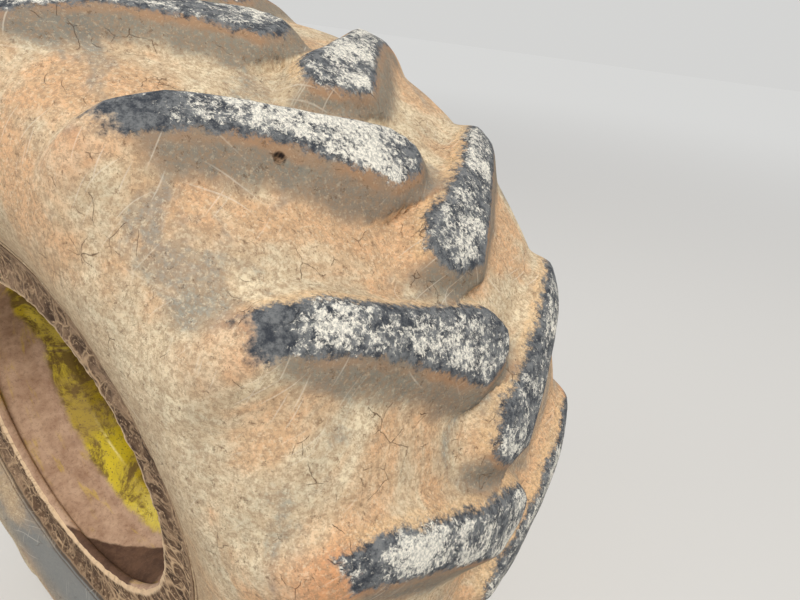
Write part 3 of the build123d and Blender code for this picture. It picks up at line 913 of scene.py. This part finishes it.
lump = bpy.data.textures.new("mud_lumps", "CLOUDS")
lump.noise_scale = 0.022
lump.noise_depth = 3
for side, name in SIDES:
    mud = turned([(side * out, radius) for out, radius in CRUST_SECTION], sides=720)
    apply_modifier(mud, "DISPLACE", texture=lump, texture_coords="LOCAL",
                   strength=0.006, mid_level=0.55)
    finish_piece(mud, "mud_crust_" + name, "wheel", caked_mud, "rim_paint", angle=60)

# %% [markdown]
# The disc is a flat plate welded into the well. A weld isn't a smooth ring: it is a
# row of scales laid one on the other. Each scale could be a flattened ball. One thin
# torus gives the same line with far fewer faces, and a wave along it gives the scales.

# %% Wheel disc and its weld
disc = turned([(0, 140.5), (20, 140.5), (20, 264.5), (0, 264.5)], sides=192)
round_edges(disc, 0.002)
finish_piece(disc, "welded_disc", "wheel", dusty_yellow_paint, "rim_paint", "wheel_disc")

WELD_R, WELD_SIZE = 0.2615, 0.006
SCALES, SCALE_DEPTH = 150, 0.15
for out in (20, 0):
    start_fresh()
    bpy.ops.mesh.primitive_torus_add(major_radius=WELD_R, minor_radius=WELD_SIZE,
                                     major_segments=256, minor_segments=8,
                                     location=(0, WHEEL_Y - out / 1000, 0),
                                     rotation=(pi / 2, 0, 0))
    weld = bpy.context.object
    bpy.ops.object.transform_apply(location=True, rotation=True, scale=True)
    for point in weld.data.vertices:
        spoke = np.arctan2(point.co.z, point.co.x)
        centre = np.array([cos(spoke) * WELD_R, WHEEL_Y - out / 1000, sin(spoke) * WELD_R])
        scale = 1 - SCALE_DEPTH + SCALE_DEPTH * abs(sin(spoke * SCALES))
        point.co = centre + (np.array(point.co) - centre) * scale
    finish_piece(weld, "weld_" + str(out), "wheel", dusty_yellow_paint, "rim_paint", angle=60)

# %% [markdown]
# Nuts and bolt heads repeat round a circle. One is modelled and
# chamfered, then copied, and each copy is turned about the axle into
# its place. Each copy has its own mesh, so the place ends up in it.

# %% Hexagon fasteners, modelled once and copied round
WASHER = 2.4


def short_bar(sides, radius, height, out, circle):
    """A cylinder primitive that stands on the plane at this distance outboard, in millimetres."""
    start_fresh()
    place_on_circle = (circle / 2000, WHEEL_Y - (out + height / 2) / 1000, 0)
    bpy.ops.mesh.primitive_cylinder_add(vertices=sides, radius=radius / 1000, depth=height / 1000,
                                        rotation=(pi / 2, 0, 0), location=place_on_circle)
    bpy.ops.object.transform_apply(location=True, rotation=True, scale=True)
    return bpy.context.object


def hexagon(across, height, out, circle, chamfer, washer=0.0):
    """A chamfered hexagon on a circle about the axle, with a washer of this radius under it."""
    piece = short_bar(6, across / 2 / cos(pi / 6), height, out, circle)
    edit(piece, "FACE")
    bpy.ops.mesh.select_all(action="DESELECT")
    bpy.ops.object.mode_set(mode="OBJECT")
    for face in piece.data.polygons:
        face.select = face.normal.y < -0.9
    bpy.ops.object.mode_set(mode="EDIT")
    bpy.ops.mesh.inset(thickness=chamfer / 1000)
    bpy.ops.mesh.extrude_region_move(TRANSFORM_OT_translate={"value": (0, -chamfer / 2000, 0)})
    bpy.ops.object.mode_set(mode="OBJECT")
    round_edges(piece, 0.0008, segments=2)
    if washer:
        round_edges(short_bar(32, washer, WASHER, out, circle), 0.0006, segments=1)
        piece.select_set(True)
        bpy.context.view_layer.objects.active = piece
        bpy.ops.object.join()
    return piece


def ring_of(piece, count, name, material, slot, *nodes):
    """Copy one piece round the axle and join the copies into one."""
    copies = []
    for k in range(count):
        copy = piece.copy()
        copy.data = piece.data.copy()
        bpy.context.collection.objects.link(copy)
        copy.data.transform(Matrix.Rotation(-2 * pi * k / count, 4, "Y"))
        copies.append(copy)
    bpy.data.objects.remove(piece)
    start_fresh()
    for copy in copies:
        copy.select_set(True)
    bpy.context.view_layer.objects.active = copies[0]
    bpy.ops.object.join()
    finish_piece(copies[0], name, "wheel", material, slot, *nodes)


print("height of a washer:", WASHER, "mm")

# %% [markdown]
# Ten nuts clamp the disc to the hub, and the ends of their studs stand out of
# them. A nut could be bored and threaded, but the stud fills its bore. So each nut
# is a solid hexagon, and a short round bar with a soft rim stands out of its face.

# %% Wheel nuts and their studs
STUDS, STUD_CIRCLE = 10, 335
nut = hexagon(across=32, height=21, out=20, circle=STUD_CIRCLE, chamfer=2.0, washer=21.0)
ring_of(nut, STUDS, "wheel_nut_ring", plated_steel, "steel", "wheel_nuts")

stud = short_bar(sides=32, radius=10.8, height=30, out=20.5, circle=STUD_CIRCLE)
round_edges(stud, 0.0015, segments=2)
ring_of(stud, STUDS, "stud_ring", plated_steel, "steel")

# %% [markdown]
# The drive flange closes the hub's nose. It is a forging: a shallow dome inside a flat bolting
# ring, with generous fillets. Two cylinders, one on the other, would give its shape, but not
# the fillet between them. Turned as one piece, it gets all its fillets from one bevel.

# %% Drive flange, cover bolts and oil plug
HUB_NOSE = 98
RING_FACE, DOME_TOP, PLUG_SEAT = HUB_NOSE + 22, HUB_NOSE + 38, HUB_NOSE + 43
forging = turned([(HUB_NOSE, 30), (HUB_NOSE, 120), (RING_FACE, 120), (RING_FACE, 62),
                  (DOME_TOP, 46), (DOME_TOP, 30)], sides=128)
round_edges(forging, 0.0035, angle=25)
finish_piece(forging, "forged_flange", "wheel", cast_iron, "hub_paint", "drive_flange")

bolt = hexagon(across=24, height=9, out=RING_FACE, circle=196, chamfer=1.5, washer=15.0)
ring_of(bolt, 12, "cover_bolt_ring", plated_steel, "steel", "cover_bolts")

plug_head = hexagon(across=30, height=11, out=PLUG_SEAT, circle=0, chamfer=2.0)
finish_piece(plug_head, "plug_head", "wheel", plated_steel, "steel", "oil_plug")
collar = turned([(DOME_TOP, 4), (DOME_TOP, 30.5), (DOME_TOP + 0.4, 30.5), (DOME_TOP + 0.4, 19),
                 (PLUG_SEAT, 19), (PLUG_SEAT, 4)], sides=64)
round_edges(collar, 0.0008, segments=2)
finish_piece(collar, "plug_collar", "wheel", plated_steel, "steel")

# %% [markdown]
# Solids that need no new shape keep their CAD mesh and only get a finish: the cast hub, the axle
# end with its bolt holes, the splined shaft, the valve and its guard. They could be modelled
# again, but their edges are already sharp and true, and most of them lie deep in the rim.

# %% Finishes for the solids shown as they are
shown = {"hub": cast_iron, "spindle": axle_paint, "drive_shaft": plated_steel,
         "valve_stem": dull_brass, "valve_guard": dusty_yellow_paint}
for name, material in shown.items():
    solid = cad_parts[name]
    solid.data.materials.clear()
    solid.data.materials.append(material)
print("dressed solids:", sorted(shown))

# %% [markdown]
# The wheel stands on a plain pale floor. A plane of one colour would end in a
# dark line at the horizon. Here its colour gives way with distance to a glow
# of the background's own tone, so floor and background run into each other.

# %% Floor
FLOOR_Z = -0.745
FADE = (2.5, 11.0)
PALE = (0.66, 0.66, 0.65, 1)
BLACK = (0, 0, 0, 1)


def floor_finish():
    material, tree, shader = new_material("plain_floor", Roughness=0.9, Specular_IOR_Level=0.1)
    reach = node(tree, "VectorMath", {0: place(tree)}, operation="LENGTH").outputs["Value"]
    fade = soft(tree, reach, *FADE)
    plug(tree, shader, "Base Color", mix(tree, fade, tone(214, 212, 208), BLACK))
    plug(tree, shader, "Emission Color", mix(tree, fade, BLACK, PALE))
    shader.inputs["Emission Strength"].default_value = 1.0
    return material


start_fresh()
bpy.ops.mesh.primitive_plane_add(size=40, location=(0, 0, FLOOR_Z - 0.001))
floor = bpy.context.object
floor.name = "floor"
floor.data.materials.append(floor_finish())
print("floor at z:", FLOOR_Z)

# %% [markdown]
# The light is that of a bright, hazy day: one broad warm lamp high on the right, a weak cool one
# on the left, and one far behind for the floor. A sun lamp would cast hard shadows. The world
# adds an even grey, and Light Path shows the camera, glass and polished metal a paler one.

# %% Lamps and background
def soft_lamp(name, spot, aim, size, power, colour=(1, 1, 1)):
    lamp = bpy.data.lights.new(name, "AREA")
    lamp.shape, lamp.size, lamp.energy, lamp.color = "SQUARE", size, power, colour
    stand = bpy.data.objects.new(name, lamp)
    bpy.context.collection.objects.link(stand)
    turn = (Vector(spot) - Vector(aim)).to_track_quat("Z", "Y")
    stand.matrix_world = Matrix.Translation(spot) @ turn.to_matrix().to_4x4()


soft_lamp("key", (3.8, -3.6, 7.6), (0, WHEEL_Y, 0), size=3.0, power=640, colour=(1, 0.97, 0.92))
soft_lamp("fill", (-5.0, -5.5, 3.0), (0, WHEEL_Y, 0), size=4.0, power=130, colour=(0.92, 0.96, 1))
soft_lamp("back", (0.0, 13.0, 8.0), (0, 8.0, FLOOR_Z), size=12.0, power=560)

world = bpy.data.worlds.new("pale_room")
bpy.context.scene.world = world
world.use_nodes = True
sky = world.node_tree
ray = node(sky, "LightPath")
seen = sum_up(sky, ray.outputs["Is Camera Ray"], "MAXIMUM", ray.outputs["Is Glossy Ray"])
seen = sum_up(sky, seen, "MAXIMUM", ray.outputs["Is Transmission Ray"])
room = sky.nodes["Background"]
sky.links.new(mix(sky, seen, (0.38, 0.39, 0.41, 1), PALE), room.inputs["Color"])
room.inputs["Strength"].default_value = 1.0
print("lamps:", [lamp.name for lamp in bpy.data.lights])

# %% [markdown]
# The camera stands where the picture was taken from, close to the tread and a little
# above the axle, with a wide lens. It could be aimed at an empty, but the picture is
# rolled as well, so its three directions are written down and put in its matrix.

# %% Camera
lens = bpy.data.cameras.new("photo_view")
lens.sensor_width = 36
lens.lens = 25.14
lens.clip_start = 0.02
camera = bpy.data.objects.new("photo_view", lens)
bpy.context.collection.objects.link(camera)
RIGHT = (0.80719, 0.58452, 0.08236)
DOWN = (0.33907, -0.34491, -0.87525)
AHEAD = (-0.48320, 0.73442, -0.47661)
stance = Matrix.Identity(4)
for row in range(3):
    stance[row][0], stance[row][1], stance[row][2] = RIGHT[row], -DOWN[row], -AHEAD[row]
stance.translation = (0.893, WHEEL_Y - 0.613, 0.755)
camera.matrix_world = stance
bpy.context.scene.camera = camera
bpy.context.scene.view_settings.view_transform = "Standard"
print("camera at", [round(c, 3) for c in stance.translation])
